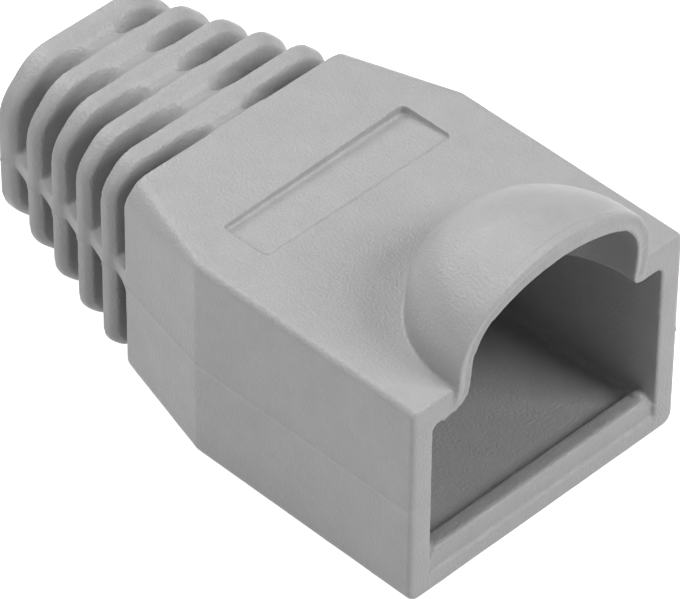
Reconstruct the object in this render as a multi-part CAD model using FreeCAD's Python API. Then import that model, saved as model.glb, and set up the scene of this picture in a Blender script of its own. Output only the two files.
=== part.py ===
import FreeCAD, Part
import math
import os

# Slip-on strain relief boot for an 8P8C (RJ45) plug, moulded in one piece from soft PVC.
# Millimetres. +X points out of the plug mouth, the cable leaves towards -X, Y is the width
# and +Z is up. The boot lies on its flat underside at z = 0, and the origin is under the
# middle of its length.

# ---- the plug pocket -------------------------------------------------------------------
PLUG_WIDTH = 11.68            # standard 8P8C plug body
PLUG_HEIGHT = 6.60
PLUG_SIDE_CLEARANCE = 0.15    # on each side of the plug
PLUG_TOP_CLEARANCE = 0.55     # over the plug, so that the floor lip can spring past it
POCKET_DEPTH = 11.0           # mouth to the start of the funnel
POCKET_CORNER = 0.35
WALL_SIDE = 1.05
WALL_TOP = 1.15
WALL_FLOOR = 1.20

# ---- the outside of the body -----------------------------------------------------------
TAPER_START = 11.2            # mouth to the crease where the sides turn inwards
BODY_LENGTH = 16.1            # mouth to the rear face, where the first groove begins
REAR_WIDTH = 11.9
TOP_EDGE_CUT = 0.20           # corner cuts of the octagonal outline, softened by BLEND
FLOOR_EDGE_CUT = 0.30
REAR_TOP_CUT = 0.72
REAR_FLOOR_CUT = 0.70
BLEND = 1.25                  # blend radius over corner cut
MOUTH_EDGE_RADIUS = 0.20

# ---- the ribbed tail -------------------------------------------------------------------
CABLE_DIAMETER = 5.80
CABLE_CLEARANCE = 0.10        # on the radius
RIB_COUNT = 5
RIB_THICKNESS = 0.62
END_RIB_THICKNESS = 0.86      # the ring at the cable's end
GROOVE_WIDTH = 1.10
FIRST_GROOVE_WIDTH = 0.88     # between the body and the first ring
TAIL_END_WIDTH = 8.65
TAIL_END_HEIGHT = 8.20
TAIL_START_CUT = 0.98         # top corner cut of the tail's outline at the rear face
TAIL_END_CUT = 1.70
TAIL_AXIS_HEIGHT = 4.93
RIB_BEVEL = 0.26              # on the body side of each ring
WEB_SINK = 0.20               # under the ring tops, at the end of each web nearer the cable
WEB_RISE = 0.17               # the web climbs by this to the ring on its body side
WEB_ROOT = 2.4                # the webs start this far from the tail's axis, inside the bore
WEB_SHOULDER = 0.90           # depth over which the webs widen from top to foot
WEB_FLARE = 0.22              # each web widens by this where it meets the ring on its body side
TOP_WEB_HALF = 1.00           # half widths of the upper and lower webs
TOP_WEB_FOOT = 2.60
SIDE_WEB_HALF = 0.30          # half widths of the left and right webs
SIDE_WEB_FOOT = 0.38

# ---- the latch hood --------------------------------------------------------------------
HOOD_SETBACK = 0.41           # axis of the round hood behind the mouth
HOOD_RADIUS = 4.98
HOOD_SHOULDER = 0.70          # height of its upright flank over the roof
HOOD_RISE = 4.20              # crown over the roof
HOOD_FULLNESS = 0.83          # haunch radius over the height of the arch above the shoulder
HOOD_WALL = 0.64              # at the flanks
HOOD_CROWN_WALL = 0.85
HOOD_LEAN = 3.3               # degrees that the rim leans forward
HOOD_FOOT_RADIUS = 0.66       # inside the mouth, where the hood runs into the ceiling
RIM_PROUD = 0.20              # the rim stands this far before the mouth, growing over the wall
RIM_BEAD = 0.10               # the bead along the rim's crown stands this proud
RIM_BEAD_LENGTH = 0.35

# ---- the retention lip and the label recess ---------------------------------------------
LIP_SILL = 0.83               # height of the plain front face under the lip
LIP_SETBACK = 0.16
LIP_HEIGHT = 0.65             # over the pocket floor
LIP_LENGTH = 0.90
LIP_BACK_DROP = 0.20
LIP_ROUND = 0.18
LIP_END_BEVEL = 0.42          # the lip falls away where it meets the side walls
LABEL_LENGTH = 9.40           # across the boot
LABEL_WIDTH = 2.35
LABEL_DEPTH = 0.25
LABEL_FROM_MOUTH = 9.70       # mouth to the near long edge
LABEL_CORNER = 0.20

# ---- what follows from them ---------------------------------------------------------------
POCKET_WIDTH = PLUG_WIDTH + 2 * PLUG_SIDE_CLEARANCE
POCKET_HEIGHT = PLUG_HEIGHT + PLUG_TOP_CLEARANCE
CEILING = WALL_FLOOR + POCKET_HEIGHT
ROOF = CEILING + WALL_TOP
MOUTH_WIDTH = POCKET_WIDTH + 2 * WALL_SIDE
BORE_RADIUS = CABLE_DIAMETER / 2 + CABLE_CLEARANCE
RIB_PITCH = RIB_THICKNESS + GROOVE_WIDTH
TAIL_LENGTH = FIRST_GROOVE_WIDTH + (RIB_COUNT - 1) * RIB_PITCH + END_RIB_THICKNESS
LEAN = math.tan(math.radians(HOOD_LEAN))
RIM_OVERHANG = RIM_PROUD + LEAN * (HOOD_RISE + RIM_BEAD)
OVERALL = BODY_LENGTH + TAIL_LENGTH + RIM_OVERHANG
MOUTH = OVERALL / 2 - RIM_OVERHANG
REAR = MOUTH - BODY_LENGTH
TAIL_END = REAR - TAIL_LENGTH
OVERLAP = 0.2                 # how far pieces are sunk into each other before they are fused
BEYOND = 5.0                  # how far cutting shapes run past what they cut
FLAT = 1e-6                   # closer than this is the same plane


def vec(x, y, z):
    return FreeCAD.Vector(x, y, z)


def blended_octagon(x, width, bottom, top, top_cut, bottom_cut):
    """Outline across the boot: a rectangle with cut corners, each vertex blended by an arc."""
    half = width / 2
    corners = []
    for side, level, cut in ((1, top, top_cut), (-1, top, top_cut),
                             (-1, bottom, bottom_cut), (1, bottom, bottom_cut)):
        inward = -1 if level == top else 1
        on_side = vec(x, side * half, level + inward * cut)
        on_level = vec(x, side * (half - cut), level)
        radius = BLEND * cut
        pair = [(on_side, radius), (on_level, radius)]
        if side * inward > 0:
            pair.reverse()
        corners += pair
    return Part.Wire(blended_edges(corners))


def blended_edges(corners):
    """Straight edges between corner points, joined by arcs of each corner's own radius."""
    joints = []
    count = len(corners)
    for index, (corner, radius) in enumerate(corners):
        back = (corners[index - 1][0] - corner).normalize()
        ahead = (corners[(index + 1) % count][0] - corner).normalize()
        half_angle = back.getAngle(ahead) / 2
        reach = radius / math.tan(half_angle)
        inward = (back + ahead).normalize()
        middle = corner + inward * (radius / math.sin(half_angle) - radius)
        joints.append((corner + back * reach, middle, corner + ahead * reach))
    edges = []
    for index, (start, middle, end) in enumerate(joints):
        edges.append(Part.Arc(start, middle, end).toShape())
        following = joints[(index + 1) % count][0]
        edges.append(Part.LineSegment(end, following).toShape())
    return edges


def tail_reach(x):
    """How far the tail's outline at x reaches from its axis: up, down and to each side."""
    share = (REAR - x) / TAIL_LENGTH
    reaches = []
    for start, end in ((ROOF - TAIL_AXIS_HEIGHT, TAIL_END_HEIGHT / 2),
                       (TAIL_AXIS_HEIGHT, TAIL_END_HEIGHT / 2),
                       (REAR_WIDTH / 2, TAIL_END_WIDTH / 2)):
        reaches.append(start + share * (end - start))
    return reaches


def tail_section(x):
    """The tail's outline at x."""
    share = (REAR - x) / TAIL_LENGTH
    up, down, side = tail_reach(x)
    top_cut = TAIL_START_CUT + share * (TAIL_END_CUT - TAIL_START_CUT)
    floor_cut = REAR_FLOOR_CUT + share * (TAIL_END_CUT - REAR_FLOOR_CUT)
    return blended_octagon(x, 2 * side, TAIL_AXIS_HEIGHT - down, TAIL_AXIS_HEIGHT + up,
                           top_cut, floor_cut)


def lying_across(shape, x):
    """The edges of a shape that lie in the plane at x."""
    return [edge for edge in shape.Edges
            if edge.BoundBox.XLength < FLAT and abs(edge.BoundBox.XMin - x) < FLAT]


def body_outside():
    """The straight box round the plug, and the taper from its crease to the rear face."""
    crease_x = MOUTH - TAPER_START
    crease = blended_octagon(crease_x, MOUTH_WIDTH, 0, ROOF, TOP_EDGE_CUT, FLOOR_EDGE_CUT)
    straight = Part.Face(crease).extrude(vec(TAPER_START, 0, 0))
    straight = straight.makeFillet(MOUTH_EDGE_RADIUS, lying_across(straight, MOUTH))
    rear = blended_octagon(REAR, REAR_WIDTH, 0, ROOF, REAR_TOP_CUT, REAR_FLOOR_CUT)
    return straight.fuse(Part.makeLoft([crease, rear], True, True))


def ring_places():
    """Where each ring starts and how thick it is, from the body to the cable's end."""
    places = []
    front = REAR - FIRST_GROOVE_WIDTH
    for index in range(RIB_COUNT):
        thickness = END_RIB_THICKNESS if index == RIB_COUNT - 1 else RIB_THICKNESS
        places.append((front, thickness))
        front -= RIB_PITCH
    return places


def ribs():
    """The rings of the tail, each smaller than the one before it and bevelled on its body side."""
    made = []
    for front, thickness in ring_places():
        outline = tail_section(front - thickness / 2)
        outline.translate(vec(-thickness / 2, 0, 0))
        ring = Part.Face(outline).extrude(vec(thickness, 0, 0))
        made.append(ring.makeChamfer(RIB_BEVEL, lying_across(ring, front)))
    return made


def web_section(x, level, half, foot, turned):
    """Section across one web: a flat top, sloping shoulders and upright flanks to the bore."""
    outline = [vec(x, -half, level), vec(x, half, level),
               vec(x, foot, level - WEB_SHOULDER), vec(x, foot, WEB_ROOT),
               vec(x, -foot, WEB_ROOT), vec(x, -foot, level - WEB_SHOULDER)]
    section = Part.makePolygon(outline + outline[:1])
    section.rotate(vec(0, 0, 0), vec(1, 0, 0), turned)
    section.translate(vec(0, 0, TAIL_AXIS_HEIGHT))
    return section


def web(start, end, turned):
    """One web across the groove from start, on its body side, to end."""
    upright = turned % 180 == 0
    half = TOP_WEB_HALF if upright else SIDE_WEB_HALF
    foot = TOP_WEB_FOOT if upright else SIDE_WEB_FOOT
    which = {0: 0, 180: 1}.get(turned, 2)
    high = tail_reach(start)[which] - WEB_SINK + WEB_RISE
    low = tail_reach(end)[which] - WEB_SINK
    neck = start - WEB_FLARE
    fall = (high - low) / (start - end)
    stations = ((start + OVERLAP, high, WEB_FLARE), (start, high, WEB_FLARE),
                (neck, high - fall * WEB_FLARE, 0), (end, low, 0), (end - OVERLAP, low, 0))
    return Part.makeLoft([web_section(x, level, half + wider, foot + wider, turned)
                          for x, level, wider in stations], True, True)


def webs():
    """The four webs of every groove, at quarter turns round the bore."""
    made = []
    start = REAR
    for front, thickness in ring_places():
        made += [web(start, front, turned) for turned in (0, 90, 180, 270)]
        start = front - thickness
    return made


def round_form(radius, rise, foot, flare=0.0):
    """The hood's round form: an upright flank, a haunch and a flatter crown, revolved.

    The flank starts at the level foot, where it may flare outwards by a quarter round."""
    shoulder = ROOF + HOOD_SHOULDER
    crown = ROOF + rise
    height = crown - shoulder
    haunch = HOOD_FULLNESS * height
    reach = radius - haunch
    sweep = (reach ** 2 + height ** 2 - haunch ** 2) / (2 * (height - haunch))
    haunch_centre = vec(reach, 0, shoulder)
    crown_centre = vec(0, 0, crown - sweep)
    turn = math.atan2(shoulder - crown_centre.z, reach)

    def at(centre, distance, angle):
        return centre + vec(math.cos(angle), 0, math.sin(angle)) * distance

    tangent = at(crown_centre, sweep, turn)
    edges = [Part.LineSegment(vec(radius, 0, foot + flare), vec(radius, 0, shoulder)).toShape(),
             Part.Arc(vec(radius, 0, shoulder), at(haunch_centre, haunch, turn / 2),
                      tangent).toShape(),
             Part.Arc(tangent, at(crown_centre, sweep, (turn + math.pi / 2) / 2),
                      vec(0, 0, crown)).toShape(),
             Part.LineSegment(vec(0, 0, crown), vec(0, 0, foot)).toShape(),
             Part.LineSegment(vec(0, 0, foot), vec(radius + flare, 0, foot)).toShape()]
    if flare:
        bend = flare * (1 - math.sqrt(0.5))
        edges.append(Part.Arc(vec(radius + flare, 0, foot), vec(radius + bend, 0, foot + bend),
                              vec(radius, 0, foot + flare)).toShape())
    solid = Part.Face(Part.Wire(edges)).revolve(vec(0, 0, 0), vec(0, 0, 1), 360)
    solid.translate(vec(MOUTH - HOOD_SETBACK, 0, 0))
    return solid


def rim_slab(length):
    """What lies up to length behind the hood's rim, which grows out of the mouth's face."""
    top = ROOF + HOOD_RISE + BEYOND
    front = [vec(MOUTH, -MOUTH_WIDTH, 0), vec(MOUTH, -MOUTH_WIDTH, CEILING),
             vec(MOUTH + RIM_PROUD, -MOUTH_WIDTH, ROOF),
             vec(MOUTH + RIM_PROUD + LEAN * (top - ROOF), -MOUTH_WIDTH, top)]
    back = [corner - vec(length, 0, 0) for corner in reversed(front)]
    face = Part.Face(Part.makePolygon(front + back + front[:1]))
    return face.extrude(vec(0, 2 * MOUTH_WIDTH, 0))


def hood_outside():
    shell = round_form(HOOD_RADIUS, HOOD_RISE, CEILING)
    bead = round_form(HOOD_RADIUS, HOOD_RISE + RIM_BEAD, CEILING)
    length = HOOD_SETBACK + HOOD_RADIUS + BEYOND
    return shell.common(rim_slab(length)).fuse(bead.common(rim_slab(RIM_BEAD_LENGTH)))


def hood_inside():
    return round_form(HOOD_RADIUS - HOOD_WALL, HOOD_RISE - HOOD_CROWN_WALL, CEILING,
                      HOOD_FOOT_RADIUS)


def drawn_to_circle(edges, x, radius):
    """The edges of an outline, each drawn in to an arc of a circle round the tail's axis."""
    def drawn(point):
        spoke = vec(0, point.y, point.z - TAIL_AXIS_HEIGHT).normalize()
        return vec(x, 0, TAIL_AXIS_HEIGHT) + spoke * radius

    arcs = []
    for edge in edges:
        first, last = edge.ParameterRange
        points = [edge.valueAt(value) for value in (first, (first + last) / 2, last)]
        arcs.append(Part.Arc(*[drawn(point) for point in points]).toShape())
    return Part.Wire(arcs)


def pocket():
    """The plug pocket, the funnel behind it and the cable bore."""
    back = MOUTH - POCKET_DEPTH
    half = POCKET_WIDTH / 2
    corners = [(vec(back, half, CEILING), POCKET_CORNER),
               (vec(back, -half, CEILING), POCKET_CORNER),
               (vec(back, -half, WALL_FLOOR), POCKET_CORNER),
               (vec(back, half, WALL_FLOOR), POCKET_CORNER)]
    edges = blended_edges(corners)
    outline = Part.Wire(edges)
    chamber = Part.Face(outline).extrude(vec(POCKET_DEPTH + BEYOND, 0, 0))
    throat = drawn_to_circle(edges, REAR, BORE_RADIUS)
    funnel = Part.makeLoft([outline, throat], True, True)
    bore = Part.makeCylinder(BORE_RADIUS, TAIL_LENGTH + BEYOND,
                             vec(TAIL_END - BEYOND, 0, TAIL_AXIS_HEIGHT), vec(1, 0, 0))
    return chamber.fuse([funnel, bore])


def lip():
    """The bar across the mouth's floor that holds the plug in."""
    front = MOUTH - LIP_SETBACK
    top = WALL_FLOOR + LIP_HEIGHT
    base = WALL_FLOOR - OVERLAP
    half = POCKET_WIDTH / 2
    corners = [vec(front, -half, base), vec(front, -half, top),
               vec(front - LIP_LENGTH, -half, top - LIP_BACK_DROP),
               vec(front - LIP_LENGTH, -half, base)]
    face = Part.Face(Part.makePolygon(corners + corners[:1]))
    bar = face.extrude(vec(0, 2 * half, 0))
    ends = [edge for edge in bar.Edges
            if edge.BoundBox.XLength > FLAT and edge.BoundBox.ZMin > WALL_FLOOR]
    bar = bar.makeChamfer(LIP_END_BEVEL, ends)
    along = [edge for edge in bar.Edges
             if edge.BoundBox.YLength > half and edge.BoundBox.ZMin > WALL_FLOOR]
    return bar.makeFillet(LIP_ROUND, along)


def lip_rebate():
    """The step that sets the lip and the floor's edge behind the plain front face."""
    return Part.makeBox(LIP_SETBACK + BEYOND, POCKET_WIDTH, WALL_FLOOR - LIP_SILL + OVERLAP,
                        vec(MOUTH - LIP_SETBACK, -POCKET_WIDTH / 2, LIP_SILL))


def label_recess():
    """The blank, shallow panel in the roof."""
    depth = LABEL_DEPTH + BEYOND
    panel = Part.makeBox(LABEL_WIDTH, LABEL_LENGTH, depth,
                         vec(MOUTH - LABEL_FROM_MOUTH - LABEL_WIDTH, -LABEL_LENGTH / 2,
                             ROOF - LABEL_DEPTH))
    uprights = [edge for edge in panel.Edges if edge.BoundBox.ZLength > depth / 2]
    return panel.makeFillet(LABEL_CORNER, uprights)


def boot():
    outside = body_outside().fuse([hood_outside()] + ribs() + webs())
    shell = outside.cut([pocket(), hood_inside(), label_recess(), lip_rebate()])
    return shell.fuse(lip()).removeSplitter()


os.makedirs("parts", exist_ok=True)
made = boot()
solid = made.Solids[0]
print("solids", len(made.Solids), "valid", solid.isValid(), "volume", round(solid.Volume, 1))
print("box", solid.BoundBox)
solid.exportStep("parts/boot.step")
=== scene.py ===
import math
import random

import bmesh
import bpy
from mathutils import Matrix, Vector, kdtree


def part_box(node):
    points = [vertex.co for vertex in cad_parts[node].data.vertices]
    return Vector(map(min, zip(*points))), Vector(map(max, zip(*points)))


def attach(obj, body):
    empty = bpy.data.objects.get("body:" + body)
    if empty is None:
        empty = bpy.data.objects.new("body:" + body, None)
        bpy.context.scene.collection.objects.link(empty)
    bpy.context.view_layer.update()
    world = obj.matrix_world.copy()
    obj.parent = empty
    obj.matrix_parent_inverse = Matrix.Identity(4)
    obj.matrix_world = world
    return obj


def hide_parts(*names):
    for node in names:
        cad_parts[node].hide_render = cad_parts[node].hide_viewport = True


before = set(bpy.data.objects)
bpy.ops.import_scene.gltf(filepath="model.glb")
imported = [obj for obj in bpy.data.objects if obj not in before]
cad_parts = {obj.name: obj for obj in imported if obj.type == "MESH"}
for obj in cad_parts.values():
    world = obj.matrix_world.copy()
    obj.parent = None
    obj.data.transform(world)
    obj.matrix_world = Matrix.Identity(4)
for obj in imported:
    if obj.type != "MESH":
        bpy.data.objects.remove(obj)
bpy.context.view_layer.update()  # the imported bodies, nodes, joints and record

bl_info = {
    "name": "RJ45 Strain Relief Boot",
    "version": (1, 0, 0),
    "blender": (4, 5, 0),
    "location": "3D View > Sidebar > Boot",
    "description": "Dresses the moulded strain relief boot and lights it in a small studio",
    "category": "Add Mesh",
}

MM = 0.001  # metres in a millimetre
LOW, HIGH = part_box("boot")
CENTRE = (LOW + HIGH) / 2

FLOOR_HALF = 1200 * MM        # half of the floor's width
FLOOR_GAP = 0.01 * MM         # keeps the uneven underside clear of the floor
LIGHT_SIZE = 140 * MM
LIGHT_DISTANCE = 300 * MM
LIGHTS = {                    # the way from the boot to each light
    "top": (0, 0, 1),
    "front": (0.8, 0.35, 0.65),
    "side": (0, -0.9, 0.4),
    "back": (-0.8, 0.2, 0.55),
    "corner": (-0.6, -0.45, 0.65),
}

CLOUD_WIDTH = 1.1 * MM        # one cloudy patch of the PVC
DIMPLE_DEPTH = 0.045 * MM     # one dimple of its skin

# From here on, millimetres as the solid has them.
WELD = 0.002                  # corners closer than this are one
ROOF = 9.50                   # top of the body over its underside

LABEL_BACK = 0.086            # label recess, from edge to edge
LABEL_FRONT = 2.436
LABEL_MARGIN = 0.05           # how far round the recess its corners are looked for
LABEL_REACH = 4.75            # how far to the sides
LABEL_UNDER = 9.20            # level under the recess's floor
LABEL_RIM = 9.40              # level between its floor and its upper edge
LABEL_SHIFT = 0.07            # how far the back edge stands back
LABEL_SKEW = 0.027            # how much further with each millimetre across
LABEL_STRETCH = 1.022         # length over the length of the solid's recess
LABEL_DEPTH = 0.12            # depth of the floor at its front edge
LABEL_FALL = 0.24             # how much deeper it is at its back edge
LABEL_TILT = 0.012            # how much deeper with each millimetre across

HOOD_SHOULDER = 0.70          # height of the hood's upright flank over the roof
HOOD_FULLNESS = 0.83          # haunch radius over the height of the arch above it
RIM_RADIUS = 4.66             # middle of the hood's wall, from the hood's axis
RIM_RISE = 3.82               # middle of the hood's wall, over the roof
RIM_FORWARD = 0.80            # rim before the hood's axis
RIM_FOOT = 0.50               # how far the rim's line runs down past the shoulder
RIM_STEP = 0.03               # from one point of the rim's line to the next
RIM_HOLLOW_WIDTH = 0.24       # half of the hollow's width
RIM_STANDS = 0.02             # how far before the mouth the rim's face begins
RIM_FACING = 0.9              # least forward part of a normal on the rim's face

FLASH_LINE = ((-5.85, 8.36), (-5.35, 8.35), (-5.0, 8.36), (-4.72, 8.45), (-4.48, 8.68))
FLASH_STEPS = 26
FLASH_REACH = (0.13, 0.30)    # shortest and longest tips
FLASH_ROOT = 0.15             # how deep it is rooted in the ceiling
FLASH_SETBACK = 0.07          # front of the flash behind the mouth
FLASH_THICKNESS = 0.14

LIP_END_SETBACK = 0.62        # middle of a lip end's swell behind the mouth
LIP_END_SIDE = 5.72           # to one side
LIP_END_LEVEL = 1.50          # and over the underside
LIP_END_SIZE = (0.42, 0.34, 0.42)

# Pairs run from where a form has no effect, or from its edge, to where it has all of it.
GROOVE_FADE = (0.03, 0.25)    # from a ring into the groove
WEB_FOOT = (2.3, 3.1)         # up or down from the bore's axis
WEB_SIDE = (3.4, 3.0)         # to either side of it
RING_FADE = (0.45, 0.32)      # from a ring's body-side edge into the ring
RING_START = 0.04             # how far into the groove a ring's edge is rounded
TAIL_ROOT = 0.5               # length of tail at the body with no ring
OUTER_WALL = 3.0              # least distance of an outer wall from the middle


def linear(code):
    """Turn an sRGB hex colour into the linear RGBA that Blender works in."""
    channels = [int(code[i : i + 2], 16) / 255 for i in (0, 2, 4)]
    return [c / 12.92 if c <= 0.04045 else ((c + 0.055) / 1.055) ** 2.4 for c in channels] + [1.0]


class BootMoulding(bpy.types.PropertyGroup):
    """Sizes of what moulding leaves on the boot."""

    cell: bpy.props.FloatProperty(
        name="Skin cell",
        description="Size of the cells that the finished skin is made of",
        default=0.065 * MM,
        min=0.05 * MM,
        unit="LENGTH",
    )
    softening: bpy.props.IntProperty(
        name="Edge softening",
        description="Passes that round the moulded edges",
        default=1,
        min=0,
        max=20,
    )
    swell: bpy.props.FloatProperty(
        name="Surface swell",
        description="Height of the slow unevenness of soft moulded walls",
        default=0.02 * MM,
        unit="LENGTH",
    )
    swell_size: bpy.props.FloatProperty(
        name="Swell size",
        description="Width of one rise or dip of the uneven walls",
        default=1.4 * MM,
        unit="LENGTH",
    )
    parting_height: bpy.props.FloatProperty(
        name="Parting line height",
        description="How far the parting line stands out of the side walls",
        default=0.035 * MM,
        unit="LENGTH",
    )
    parting_width: bpy.props.FloatProperty(
        name="Parting line width",
        description="Half of the parting line's width at its foot",
        default=0.14 * MM,
        unit="LENGTH",
    )
    parting_level: bpy.props.FloatProperty(
        name="Parting line level",
        description="Height of the parting line above the underside",
        default=4.65 * MM,
        unit="LENGTH",
    )
    mouth: bpy.props.FloatProperty(
        name="Mouth",
        description="Place of the plain mouth face, from the middle of the boot's length",
        default=12.136 * MM,
        unit="LENGTH",
    )
    rim_hollow: bpy.props.FloatProperty(
        name="Rim hollow",
        description="Depth of the shallow hollow along the hood rim's face",
        default=0.05 * MM,
        unit="LENGTH",
    )
    triangles: bpy.props.IntProperty(
        name="Triangles",
        description="Most triangles that the finished skin may have",
        default=190000,
        min=20000,
    )


class BootTail(bpy.types.PropertyGroup):
    """Where the tail's rings lie, and how the moulding softens them."""

    length: bpy.props.FloatProperty(
        name="Tail length",
        description="Length of the ribbed tail behind the body",
        default=8.62 * MM,
        unit="LENGTH",
    )
    end_ring: bpy.props.FloatProperty(
        name="End ring",
        description="Thickness of the ring at the cable's end",
        default=0.86 * MM,
        unit="LENGTH",
    )
    groove: bpy.props.FloatProperty(
        name="Groove",
        description="Width of a groove between two rings",
        default=1.10 * MM,
        unit="LENGTH",
    )
    pitch: bpy.props.FloatProperty(
        name="Ring pitch",
        description="Distance from one ring to the next",
        default=1.72 * MM,
        unit="LENGTH",
    )
    axis: bpy.props.FloatProperty(
        name="Axis height",
        description="Height of the cable bore's axis above the underside",
        default=4.93 * MM,
        unit="LENGTH",
    )
    web_waist: bpy.props.FloatProperty(
        name="Web waist",
        description="How much narrower the upper and lower webs are at their waist",
        default=0.34,
        subtype="FACTOR",
    )
    web_dip: bpy.props.FloatProperty(
        name="Web dip",
        description="How far the upper and lower webs dip behind each ring",
        default=0.42 * MM,
        unit="LENGTH",
    )
    web_softening: bpy.props.IntProperty(
        name="Web softening",
        description="Passes that round the upper and lower webs",
        default=9,
        min=0,
        max=100,
    )
    ring_softening: bpy.props.FloatProperty(
        name="Ring softening",
        description="Share of the web softening that reaches the rings' body-side edges",
        default=0.3,
        min=0,
        max=1,
        subtype="FACTOR",
    )


class BootFinish(bpy.types.PropertyGroup):
    """Colour and surface of the soft PVC."""

    pvc: bpy.props.FloatVectorProperty(
        name="PVC colour",
        description="Main colour of the moulded PVC",
        default=linear("B5B5B5"),
        size=4,
        min=0,
        max=1,
        subtype="COLOR",
    )
    mottle: bpy.props.FloatVectorProperty(
        name="Mottle colour",
        description="Colour of the faint cloudy patches in the PVC",
        default=linear("A6A6A6"),
        size=4,
        min=0,
        max=1,
        subtype="COLOR",
    )
    roughness: bpy.props.FloatProperty(
        name="Roughness",
        description="How dull the moulded surface is",
        default=0.38,
        min=0,
        max=1,
        subtype="FACTOR",
    )
    grain: bpy.props.FloatProperty(
        name="Mould grain",
        description="Width of one dimple of the spark-eroded mould surface",
        default=0.12 * MM,
        unit="LENGTH",
    )


class BootStudio(bpy.types.PropertyGroup):
    """Camera and light round the boot."""

    azimuth: bpy.props.FloatProperty(
        name="Camera azimuth",
        description="Turn of the camera round the boot, from its right side",
        default=math.radians(44.69),
        subtype="ANGLE",
    )
    elevation: bpy.props.FloatProperty(
        name="Camera elevation",
        description="Height of the camera above the horizon",
        default=math.radians(42.22),
        subtype="ANGLE",
    )
    roll: bpy.props.FloatProperty(
        name="Camera roll",
        description="Turn of the camera about its own axis",
        default=math.radians(0.59),
        subtype="ANGLE",
    )
    distance: bpy.props.FloatProperty(
        name="Camera distance",
        description="Distance from the camera to the point it looks at",
        default=227 * MM,
        unit="LENGTH",
    )
    aim: bpy.props.FloatVectorProperty(
        name="Camera aim",
        description="Point the camera looks at, from the centre of the boot's box",
        default=(3.063 * MM, -1.628 * MM, -1.134 * MM),
        size=3,
        subtype="TRANSLATION",
    )
    lens: bpy.props.FloatProperty(
        name="Focal length",
        description="Focal length of the camera in millimetres",
        default=324.8,
        unit="CAMERA",
    )
    top: bpy.props.FloatProperty(
        name="Top light",
        description="Power of the soft light straight above",
        default=0.375,
        unit="POWER",
    )
    front: bpy.props.FloatProperty(
        name="Front light",
        description="Power of the soft light before the mouth",
        default=0.525,
        unit="POWER",
    )
    side: bpy.props.FloatProperty(
        name="Side light",
        description="Power of the soft light on the side near the camera",
        default=0.165,
        unit="POWER",
    )
    back: bpy.props.FloatProperty(
        name="Back light",
        description="Power of the soft light behind the tail",
        default=0.30,
        unit="POWER",
    )
    corner: bpy.props.FloatProperty(
        name="Corner light",
        description="Power of the soft light over the tail's near corner",
        default=0.115,
        unit="POWER",
    )
    ambient: bpy.props.FloatProperty(
        name="Room light",
        description="Strength of the even light from the room",
        default=0.08,
        min=0,
    )


def add_node(tree, kind, settings=None, inputs=None):
    """Add a node, give it its settings, and link or set each of its inputs."""
    node = tree.nodes.new(kind)
    for name, value in (settings or {}).items():
        setattr(node, name, value)
    for key, value in (inputs or {}).items():
        if isinstance(value, bpy.types.NodeSocket):
            tree.links.new(value, node.inputs[key])
        else:
            node.inputs[key].default_value = value
    return node


def new_material(name):
    """Make an empty node material and give back it and its tree."""
    material = bpy.data.materials.new(name)
    material.use_nodes = True
    material.node_tree.nodes.clear()
    return material, material.node_tree


def soft_pvc(finish):
    """Soft PVC, injection moulded in a spark-eroded steel mould.

    The eroded steel gives the eye a dull, finely dimpled skin, and the filler in the
    plastic gives faint cloudy patches.
    """
    material, tree = new_material("soft_pvc_moulded")
    place = add_node(tree, "ShaderNodeTexCoord").outputs["Object"]
    clouds = add_node(
        tree,
        "ShaderNodeTexNoise",
        inputs={"Vector": place, "Scale": 1 / CLOUD_WIDTH, "Detail": 4.0, "Roughness": 0.65},
    )
    colour = add_node(
        tree,
        "ShaderNodeMix",
        {"data_type": "RGBA"},
        {0: clouds.outputs["Fac"], 6: list(finish.pvc), 7: list(finish.mottle)},
    )
    dimples = add_node(
        tree,
        "ShaderNodeTexNoise",
        inputs={"Vector": place, "Scale": 1 / finish.grain, "Detail": 2.0, "Roughness": 0.6},
    )
    bump = add_node(
        tree,
        "ShaderNodeBump",
        inputs={"Height": dimples.outputs["Fac"], "Distance": DIMPLE_DEPTH, "Strength": 0.9},
    )
    dull = add_node(
        tree,
        "ShaderNodeMapRange",
        inputs={
            "Value": clouds.outputs["Fac"],
            "To Min": finish.roughness - 0.06,
            "To Max": finish.roughness + 0.06,
        },
    )
    surface = add_node(
        tree,
        "ShaderNodeBsdfPrincipled",
        inputs={
            "Base Color": colour.outputs[2],
            "Roughness": dull.outputs["Result"],
            "IOR": 1.53,
            "Normal": bump.outputs["Normal"],
        },
    )
    add_node(tree, "ShaderNodeOutputMaterial", inputs={"Surface": surface.outputs["BSDF"]})
    return material


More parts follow.
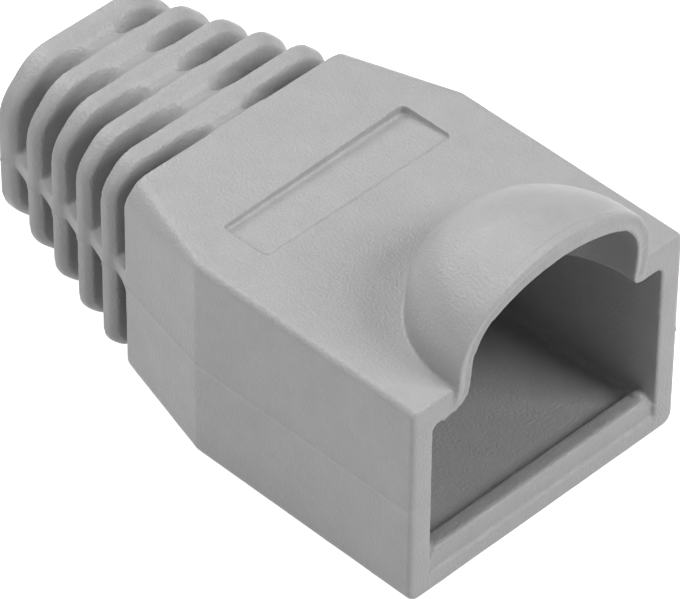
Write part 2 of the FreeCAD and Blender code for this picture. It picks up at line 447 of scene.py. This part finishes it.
def softened_tail(tree, skin, given):
    """Add the nodes that waist and round the tail's webs and round its rings' edges.

    A groove's own position runs from 0, at the ring nearer the cable, to the groove's width.
    """
    place = add_node(tree, "GeometryNodeInputPosition").outputs[0]
    where = add_node(tree, "ShaderNodeSeparateXYZ", inputs={0: place}).outputs
    along = add_node(
        tree, "ShaderNodeMath", {"operation": "SUBTRACT"}, {0: where["X"], 1: given["Tail end"]}
    )
    past_ring = add_node(
        tree,
        "ShaderNodeMath",
        {"operation": "SUBTRACT"},
        {0: along.outputs[0], 1: given["End ring"]},
    )
    across_groove = add_node(
        tree,
        "ShaderNodeMath",
        {"operation": "MODULO"},
        {0: past_ring.outputs[0], 1: given["Pitch"]},
    )
    to_next = add_node(
        tree,
        "ShaderNodeMath",
        {"operation": "SUBTRACT"},
        {0: given["Groove"], 1: across_groove.outputs[0]},
    )
    to_body = add_node(
        tree,
        "ShaderNodeMath",
        {"operation": "SUBTRACT"},
        {0: given["Tail length"], 1: along.outputs[0]},
    )
    nearer = add_node(
        tree,
        "ShaderNodeMath",
        {"operation": "MINIMUM"},
        {0: to_next.outputs[0], 1: to_body.outputs[0]},
    )
    from_ring = add_node(
        tree,
        "ShaderNodeMath",
        {"operation": "MINIMUM"},
        {0: nearer.outputs[0], 1: across_groove.outputs[0]},
    )
    in_groove = add_node(
        tree,
        "ShaderNodeMapRange",
        {"interpolation_type": "SMOOTHSTEP"},
        {"Value": from_ring.outputs[0], "From Min": GROOVE_FADE[0], "From Max": GROOVE_FADE[1]},
    )
    above = add_node(
        tree,
        "ShaderNodeMath",
        {"operation": "SUBTRACT"},
        {0: where["Z"], 1: given["Axis height"]},
    )
    off_axis = add_node(tree, "ShaderNodeMath", {"operation": "ABSOLUTE"}, {0: above.outputs[0]})
    outer = add_node(
        tree,
        "ShaderNodeMapRange",
        {"interpolation_type": "SMOOTHSTEP"},
        {"Value": off_axis.outputs[0], "From Min": WEB_FOOT[0], "From Max": WEB_FOOT[1]},
    )
    sideways = add_node(tree, "ShaderNodeMath", {"operation": "ABSOLUTE"}, {0: where["Y"]})
    central = add_node(
        tree,
        "ShaderNodeMapRange",
        {"interpolation_type": "SMOOTHSTEP"},
        {"Value": sideways.outputs[0], "From Min": WEB_SIDE[0], "From Max": WEB_SIDE[1]},
    )
    on_web = add_node(
        tree,
        "ShaderNodeMath",
        {"operation": "MULTIPLY"},
        {0: outer.outputs["Result"], 1: central.outputs["Result"]},
    )
    web = add_node(
        tree,
        "ShaderNodeMath",
        {"operation": "MULTIPLY"},
        {0: on_web.outputs[0], 1: in_groove.outputs["Result"]},
    )
    squeeze = add_node(
        tree,
        "ShaderNodeMath",
        {"operation": "MULTIPLY"},
        {0: web.outputs[0], 1: given["Web waist"]},
    )
    inward = add_node(
        tree, "ShaderNodeMath", {"operation": "MULTIPLY"}, {0: squeeze.outputs[0], 1: where["Y"]}
    )
    slope = add_node(
        tree,
        "ShaderNodeMapRange",
        inputs={
            "Value": across_groove.outputs[0],
            "From Max": given["Groove"],
            "To Min": given["Web dip"],
            "To Max": 0.0,
        },
    )
    dip = add_node(
        tree,
        "ShaderNodeMath",
        {"operation": "MULTIPLY"},
        {0: slope.outputs["Result"], 1: web.outputs[0]},
    )
    upright = add_node(tree, "ShaderNodeMath", {"operation": "SIGN"}, {0: above.outputs[0]})
    sunk = add_node(
        tree,
        "ShaderNodeMath",
        {"operation": "MULTIPLY"},
        {0: dip.outputs[0], 1: upright.outputs[0]},
    )
    shift = add_node(
        tree, "ShaderNodeCombineXYZ", inputs={"Y": inward.outputs[0], "Z": sunk.outputs[0]}
    )
    waisted_place = add_node(
        tree, "ShaderNodeVectorMath", {"operation": "SUBTRACT"}, {0: place, 1: shift.outputs[0]}
    )

    into_ring = add_node(
        tree,
        "ShaderNodeMath",
        {"operation": "SUBTRACT"},
        {0: RING_START, 1: past_ring.outputs[0]},
    )
    behind_edge = add_node(
        tree,
        "ShaderNodeMath",
        {"operation": "FLOORED_MODULO"},
        {0: into_ring.outputs[0], 1: given["Pitch"]},
    )
    ring_edge = add_node(
        tree,
        "ShaderNodeMapRange",
        {"interpolation_type": "SMOOTHSTEP"},
        {"Value": behind_edge.outputs[0], "From Min": RING_FADE[0], "From Max": RING_FADE[1]},
    )
    on_tail = add_node(
        tree,
        "ShaderNodeMath",
        {"operation": "GREATER_THAN"},
        {0: to_body.outputs[0], 1: TAIL_ROOT},
    )
    ring = add_node(
        tree,
        "ShaderNodeMath",
        {"operation": "MULTIPLY"},
        {0: ring_edge.outputs["Result"], 1: on_tail.outputs[0]},
    )
    ring_share = add_node(
        tree,
        "ShaderNodeMath",
        {"operation": "MULTIPLY"},
        {0: ring.outputs[0], 1: given["Ring softening"]},
    )
    weight = add_node(
        tree,
        "ShaderNodeMath",
        {"operation": "MAXIMUM"},
        {0: web.outputs[0], 1: ring_share.outputs[0]},
    )
    held_weight = add_node(tree, "GeometryNodeCaptureAttribute", inputs={"Geometry": skin})
    held_weight.capture_items.new("FLOAT", "weight")
    tree.links.new(weight.outputs[0], held_weight.inputs["weight"])
    waisted = add_node(
        tree,
        "GeometryNodeSetPosition",
        inputs={"Geometry": held_weight.outputs["Geometry"], "Position": waisted_place.outputs[0]},
    )
    even = add_node(
        tree,
        "GeometryNodeBlurAttribute",
        {"data_type": "FLOAT_VECTOR"},
        {
            "Value": place,
            "Iterations": given["Web softening"],
            "Weight": held_weight.outputs["weight"],
        },
    )
    rounded = add_node(
        tree,
        "GeometryNodeSetPosition",
        inputs={"Geometry": waisted.outputs[0], "Position": even.outputs[0]},
    )
    return rounded.outputs[0]


def moulding_tree(values):
    """Geometry nodes that soften a skin's edges and webs, swell its walls and part it.

    It works in millimetres, on a skin of even cells. The values name its inputs.
    """
    tree = bpy.data.node_groups.new("Boot moulding", "GeometryNodeTree")
    face = tree.interface
    face.new_socket("Skin", in_out="INPUT", socket_type="NodeSocketGeometry")
    kinds = {int: "NodeSocketInt", float: "NodeSocketFloat"}
    for name, value in values.items():
        kind = kinds.get(type(value), "NodeSocketMaterial")
        face.new_socket(name, in_out="INPUT", socket_type=kind)
    face.new_socket("Skin", in_out="OUTPUT", socket_type="NodeSocketGeometry")
    given = add_node(tree, "NodeGroupInput").outputs

    place = add_node(tree, "GeometryNodeInputPosition").outputs[0]
    tail = softened_tail(tree, given["Skin"], given)
    even = add_node(
        tree,
        "GeometryNodeBlurAttribute",
        {"data_type": "FLOAT_VECTOR"},
        {"Value": place, "Iterations": given["Softening"], "Weight": 0.8},
    )
    soft = add_node(
        tree, "GeometryNodeSetPosition", inputs={"Geometry": tail, "Position": even.outputs[0]}
    )

    outward = add_node(tree, "GeometryNodeInputNormal").outputs["Normal"]
    fineness = add_node(
        tree, "ShaderNodeMath", {"operation": "DIVIDE"}, {0: 1.0, 1: given["Swell size"]}
    )
    waves = add_node(
        tree,
        "ShaderNodeTexNoise",
        inputs={"Vector": place, "Scale": fineness.outputs[0], "Detail": 1.0},
    )
    centred = add_node(
        tree, "ShaderNodeMath", {"operation": "SUBTRACT"}, {0: waves.outputs["Fac"], 1: 0.5}
    )
    swell = add_node(
        tree,
        "ShaderNodeMath",
        {"operation": "MULTIPLY"},
        {0: centred.outputs[0], 1: given["Swell"]},
    )

    where = add_node(tree, "ShaderNodeSeparateXYZ", inputs={0: place}).outputs
    facing = add_node(tree, "ShaderNodeSeparateXYZ", inputs={0: outward}).outputs
    above = add_node(
        tree,
        "ShaderNodeMath",
        {"operation": "SUBTRACT"},
        {0: where["Z"], 1: given["Parting level"]},
    )
    away = add_node(tree, "ShaderNodeMath", {"operation": "ABSOLUTE"}, {0: above.outputs[0]})
    ridge = add_node(
        tree,
        "ShaderNodeMapRange",
        {"interpolation_type": "SMOOTHSTEP"},
        {
            "Value": away.outputs[0],
            "From Min": 0.0,
            "From Max": given["Parting width"],
            "To Min": given["Parting height"],
            "To Max": 0.0,
        },
    )
    sideways = add_node(
        tree, "ShaderNodeMath", {"operation": "MULTIPLY"}, {0: where["Y"], 1: facing["Y"]}
    )
    outside = add_node(
        tree,
        "ShaderNodeMath",
        {"operation": "GREATER_THAN"},
        {0: sideways.outputs[0], 1: OUTER_WALL},
    )
    line = add_node(
        tree,
        "ShaderNodeMath",
        {"operation": "MULTIPLY"},
        {0: ridge.outputs["Result"], 1: outside.outputs[0]},
    )
    lift = add_node(
        tree, "ShaderNodeMath", {"operation": "ADD"}, {0: swell.outputs[0], 1: line.outputs[0]}
    )
    push = add_node(
        tree,
        "ShaderNodeVectorMath",
        {"operation": "SCALE"},
        {0: outward, "Scale": lift.outputs[0]},
    )
    moved = add_node(
        tree,
        "GeometryNodeSetPosition",
        inputs={"Geometry": soft.outputs[0], "Offset": push.outputs[0]},
    )
    real = add_node(
        tree, "GeometryNodeRealizeInstances", inputs={"Geometry": moved.outputs[0]}
    )
    dressed = add_node(
        tree,
        "GeometryNodeSetMaterial",
        inputs={"Geometry": real.outputs[0], "Material": given["Finish"]},
    )
    add_node(tree, "NodeGroupOutput", inputs={0: dressed.outputs[0]})
    return tree


def set_inputs(modifier, values):
    """Give a geometry nodes modifier its inputs, each found by its socket's identifier."""
    for item in modifier.node_group.interface.items_tree:
        if item.in_out == "INPUT" and item.name in values:
            modifier[item.identifier] = values[item.name]


def bake_modifiers(piece):
    """Turn a piece's evaluated modifiers into its plain mesh."""
    scene_state = bpy.context.evaluated_depsgraph_get()
    mesh = bpy.data.meshes.new_from_object(piece.evaluated_get(scene_state))
    piece.modifiers.clear()
    old = piece.data
    piece.data = mesh
    bpy.data.meshes.remove(old)


def merged_copy(node, name):
    """Copy a CAD node's triangles, in millimetres, welded into one closed shell."""
    mesh = node.data.copy()
    mesh.materials.clear()
    mesh.transform(Matrix.Scale(1 / MM, 4))
    shell = bmesh.new()
    shell.from_mesh(mesh)
    bmesh.ops.remove_doubles(shell, verts=shell.verts, dist=WELD)
    bmesh.ops.recalc_face_normals(shell, faces=shell.faces)
    moulding = bpy.context.scene.boot_moulding
    settle_label(shell)
    add_flash(shell, moulding)
    add_lip_ends(shell, moulding)
    shell.to_mesh(mesh)
    shell.free()
    piece = bpy.data.objects.new(name, mesh)
    bpy.context.scene.collection.objects.link(piece)
    return piece


def add_shape(shell, points, faces):
    """Add a closed form to a shell that is about to be fused into one skin."""
    corners = [shell.verts.new(point) for point in points]
    made = [shell.faces.new([corners[index] for index in face]) for face in faces]
    bmesh.ops.recalc_face_normals(shell, faces=made)


def add_flash(shell, moulding):
    """Add the thin torn flash left along the ceiling's front edge, left of the hood."""
    ragged = random.Random(4)
    front = moulding.mouth / MM - FLASH_SETBACK
    points = []
    for step in range(FLASH_STEPS):
        share = step / (FLASH_STEPS - 1)
        run = share * (len(FLASH_LINE) - 1)
        index = min(int(run), len(FLASH_LINE) - 2)
        here = Vector(FLASH_LINE[index]).lerp(Vector(FLASH_LINE[index + 1]), run - index)
        way = (Vector(FLASH_LINE[index + 1]) - Vector(FLASH_LINE[index])).normalized()
        into_mouth = Vector((way.y, -way.x))
        tip = here + into_mouth * ragged.uniform(*FLASH_REACH)
        root = here - into_mouth * FLASH_ROOT
        for x in (front, front - FLASH_THICKNESS):
            points += [(x, *root), (x, *tip)]
    faces = [(0, 1, 3, 2), tuple(len(points) - 4 + index for index in (0, 2, 3, 1))]
    for step in range(FLASH_STEPS - 1):
        a = 4 * step
        b = a + 4
        for one, two in ((0, 1), (1, 3), (3, 2), (2, 0)):
            faces.append((a + one, a + two, b + two, b + one))
    add_shape(shell, points, faces)


def add_lip_ends(shell, moulding):
    """Add the small swell at each end of the lip, where it runs up to the side wall."""
    size = Matrix.Diagonal((*LIP_END_SIZE, 1))
    middle = moulding.mouth / MM - LIP_END_SETBACK
    for side in (-1, 1):
        centre = Vector((middle, side * LIP_END_SIDE, LIP_END_LEVEL))
        bmesh.ops.create_icosphere(
            shell, subdivisions=3, radius=1, matrix=Matrix.Translation(centre) @ size
        )


def settle_label(shell):
    """Shift the label recess's corners, which real steel doesn't leave quite square."""
    for vert in shell.verts:
        x, y, z = vert.co
        inside = LABEL_BACK - LABEL_MARGIN < x < LABEL_FRONT + LABEL_MARGIN
        if not inside or abs(y) >= LABEL_REACH or z < LABEL_UNDER:
            continue
        if x < (LABEL_BACK + LABEL_FRONT) / 2:
            vert.co.x -= LABEL_SHIFT + LABEL_SKEW * y
        vert.co.y *= LABEL_STRETCH
        if z < LABEL_RIM:
            back = 1 - (x - LABEL_BACK) / (LABEL_FRONT - LABEL_BACK)
            vert.co.z = ROOF - LABEL_DEPTH - LABEL_FALL * back - LABEL_TILT * y


def rim_line(moulding):
    """Points along the middle of the hood rim's front face, from foot to foot."""
    height = RIM_RISE - HOOD_SHOULDER
    haunch = HOOD_FULLNESS * height
    reach = RIM_RADIUS - haunch
    sweep = (reach**2 + height**2 - haunch**2) / (2 * (height - haunch))
    crown = RIM_RISE - sweep
    turn = reach * sweep / (sweep - haunch)
    line = []
    spread = math.sqrt(RIM_RADIUS**2 - RIM_FORWARD**2)
    steps = int(spread / RIM_STEP)
    for index in range(-steps, steps + 1):
        y = index * RIM_STEP
        out = math.hypot(y, RIM_FORWARD)
        if out < turn:
            line.append((y, crown + math.sqrt(sweep**2 - out**2)))
        else:
            line.append((y, HOOD_SHOULDER + math.sqrt(max(0, haunch**2 - (out - reach) ** 2))))
    for index in range(int((HOOD_SHOULDER + RIM_FOOT) / RIM_STEP)):
        line += [(side * spread, HOOD_SHOULDER - index * RIM_STEP) for side in (-1, 1)]
    return line


def press_rim(skin, moulding):
    """Press the shallow hollow into the hood rim's front face."""
    line = rim_line(moulding)
    tree = kdtree.KDTree(len(line))
    for index, (y, rise) in enumerate(line):
        tree.insert((0, y, ROOF + rise), index)
    tree.balance()
    mouth = moulding.mouth / MM
    deepest = moulding.rim_hollow / MM
    pressed = []  # moved after the search, because a moved vertex upsets every normal
    for vert in skin.data.vertices:
        x, y, z = vert.co
        on_face = x > mouth + RIM_STANDS and vert.normal.x > RIM_FACING
        if z > ROOF - RIM_FOOT and on_face:
            away = tree.find((0, y, z))[2] / RIM_HOLLOW_WIDTH
            if away < 1:
                pressed.append((vert, deepest * (1 - away**2) ** 2))
    for vert, depth in pressed:
        vert.co.x -= depth


class BOOT_OT_skin(bpy.types.Operator):
    """Make the boot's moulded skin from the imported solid"""

    bl_idname = "boot.skin"
    bl_label = "Moulded skin"

    def execute(self, context):
        moulding = context.scene.boot_moulding
        skin = merged_copy(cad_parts["boot"], "boot_skin")
        cells = skin.modifiers.new("cells", "REMESH")
        cells.mode = "VOXEL"
        cells.voxel_size = moulding.cell / MM
        tail = context.scene.boot_tail
        values = {
            "Softening": moulding.softening,
            "Swell": moulding.swell / MM,
            "Swell size": moulding.swell_size / MM,
            "Parting height": moulding.parting_height / MM,
            "Parting width": moulding.parting_width / MM,
            "Parting level": moulding.parting_level / MM,
            "Tail end": LOW.x / MM,
            "Tail length": tail.length / MM,
            "End ring": tail.end_ring / MM,
            "Groove": tail.groove / MM,
            "Pitch": tail.pitch / MM,
            "Axis height": tail.axis / MM,
            "Web waist": tail.web_waist,
            "Web dip": tail.web_dip / MM,
            "Web softening": tail.web_softening,
            "Ring softening": tail.ring_softening,
            "Finish": soft_pvc(context.scene.boot_finish),
        }
        nodes = skin.modifiers.new("moulding", "NODES")
        nodes.node_group = moulding_tree(values)
        set_inputs(nodes, values)
        bake_modifiers(skin)
        press_rim(skin, moulding)
        triangles = sum(len(face.vertices) - 2 for face in skin.data.polygons)
        if triangles == 0:
            raise RuntimeError("The skin came out empty")
        if triangles > moulding.triangles:
            thin = skin.modifiers.new("thin", "DECIMATE")
            thin.ratio = moulding.triangles / triangles
            bake_modifiers(skin)
        skin.data.transform(Matrix.Scale(MM, 4))
        skin.data.shade_smooth()
        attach(skin, "root")
        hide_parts("boot")
        return {"FINISHED"}


def studio_paper():
    """Matt white paper.

    It stays white to the eye where light falls on it, and keeps the boot's soft shadow.
    """
    material, tree = new_material("studio_paper_matt")
    rays = add_node(tree, "ShaderNodeLightPath").outputs
    seen = add_node(
        tree,
        "ShaderNodeMath",
        {"operation": "MAXIMUM"},
        {0: rays["Is Camera Ray"], 1: rays["Is Glossy Ray"]},
    )
    surface = add_node(
        tree,
        "ShaderNodeBsdfPrincipled",
        inputs={
            "Base Color": linear("B8B8B8"),
            "Roughness": 0.9,
            "Emission Color": linear("FFFFFF"),
            "Emission Strength": seen.outputs[0],
        },
    )
    add_node(tree, "ShaderNodeOutputMaterial", inputs={"Surface": surface.outputs["BSDF"]})
    return material


def room_light(strength):
    """Even light from the room, which the camera and reflections see as white."""
    world = bpy.data.worlds.new("room")
    bpy.context.scene.world = world
    world.use_nodes = True
    tree = world.node_tree
    tree.nodes.clear()
    rays = add_node(tree, "ShaderNodeLightPath").outputs
    direct = add_node(
        tree,
        "ShaderNodeMath",
        {"operation": "MAXIMUM"},
        {0: rays["Is Camera Ray"], 1: rays["Is Transmission Ray"]},
    )
    level = add_node(
        tree,
        "ShaderNodeMapRange",
        inputs={"Value": direct.outputs[0], "To Min": strength, "To Max": 1.0},
    )
    white = add_node(
        tree,
        "ShaderNodeBackground",
        inputs={"Color": linear("FFFFFF"), "Strength": level.outputs["Result"]},
    )
    add_node(tree, "ShaderNodeOutputWorld", inputs={"Surface": white.outputs[0]})


def soft_light(name, way, power):
    """Hang a square soft light in one direction from the boot, turned towards its centre."""
    lamp = bpy.data.lights.new(name, "AREA")
    lamp.size = LIGHT_SIZE
    lamp.energy = power
    light = bpy.data.objects.new(name, lamp)
    bpy.context.scene.collection.objects.link(light)
    light.location = CENTRE + Vector(way).normalized() * LIGHT_DISTANCE
    light.rotation_euler = (-Vector(way)).to_track_quat("-Z", "Y").to_euler()


class BOOT_OT_studio(bpy.types.Operator):
    """Set up the floor, the soft lights and the camera"""

    bl_idname = "boot.studio"
    bl_label = "Studio"

    def execute(self, context):
        studio = context.scene.boot_studio
        half = FLOOR_HALF
        corners = [(-half, -half), (half, -half), (half, half), (-half, half)]
        sheet = bpy.data.meshes.new("floor")
        sheet.from_pydata([(x, y, LOW.z - FLOOR_GAP) for x, y in corners], [], [(0, 1, 2, 3)])
        sheet.materials.append(studio_paper())
        floor = bpy.data.objects.new("floor", sheet)
        context.scene.collection.objects.link(floor)

        room_light(studio.ambient)
        for name, way in LIGHTS.items():
            soft_light(name, way, getattr(studio, name))

        around, above = studio.azimuth, studio.elevation
        back = Vector(
            (
                math.sin(around) * math.cos(above),
                -math.cos(around) * math.cos(above),
                math.sin(above),
            )
        )
        lens = bpy.data.cameras.new("camera")
        lens.lens = studio.lens
        lens.clip_start = 10 * MM
        camera = bpy.data.objects.new("camera", lens)
        context.scene.collection.objects.link(camera)
        camera.location = CENTRE + Vector(studio.aim) + back * studio.distance
        facing = back.to_track_quat("Z", "Y").to_matrix()
        camera.rotation_euler = (facing @ Matrix.Rotation(studio.roll, 3, "Z")).to_euler()
        context.scene.camera = camera
        context.scene.view_settings.view_transform = "Standard"
        return {"FINISHED"}


class BOOT_PT_panel(bpy.types.Panel):
    """Lists what dresses the boot"""

    bl_idname = "BOOT_PT_panel"
    bl_label = "Strain Relief Boot"
    bl_space_type = "VIEW_3D"
    bl_region_type = "UI"
    bl_category = "Boot"

    def draw(self, context):
        for operator in OPERATORS:
            self.layout.operator(operator.bl_idname)
        for name, group in SETTINGS.items():
            column = self.layout.column(heading=name)
            for setting in group.__annotations__:
                column.prop(getattr(context.scene, name), setting)


SETTINGS = {
    "boot_moulding": BootMoulding,
    "boot_tail": BootTail,
    "boot_finish": BootFinish,
    "boot_studio": BootStudio,
}
OPERATORS = (BOOT_OT_skin, BOOT_OT_studio)
CLASSES = (*SETTINGS.values(), *OPERATORS, BOOT_PT_panel)


def register():
    for item in CLASSES:
        bpy.utils.register_class(item)
    for name, group in SETTINGS.items():
        setattr(bpy.types.Scene, name, bpy.props.PointerProperty(type=group))


def unregister():
    for name in SETTINGS:
        delattr(bpy.types.Scene, name)
    for item in reversed(CLASSES):
        bpy.utils.unregister_class(item)


def main():
    """Dress the boot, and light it."""
    register()
    bpy.ops.boot.skin()
    bpy.ops.boot.studio()


if __name__ == "__main__":
    main()
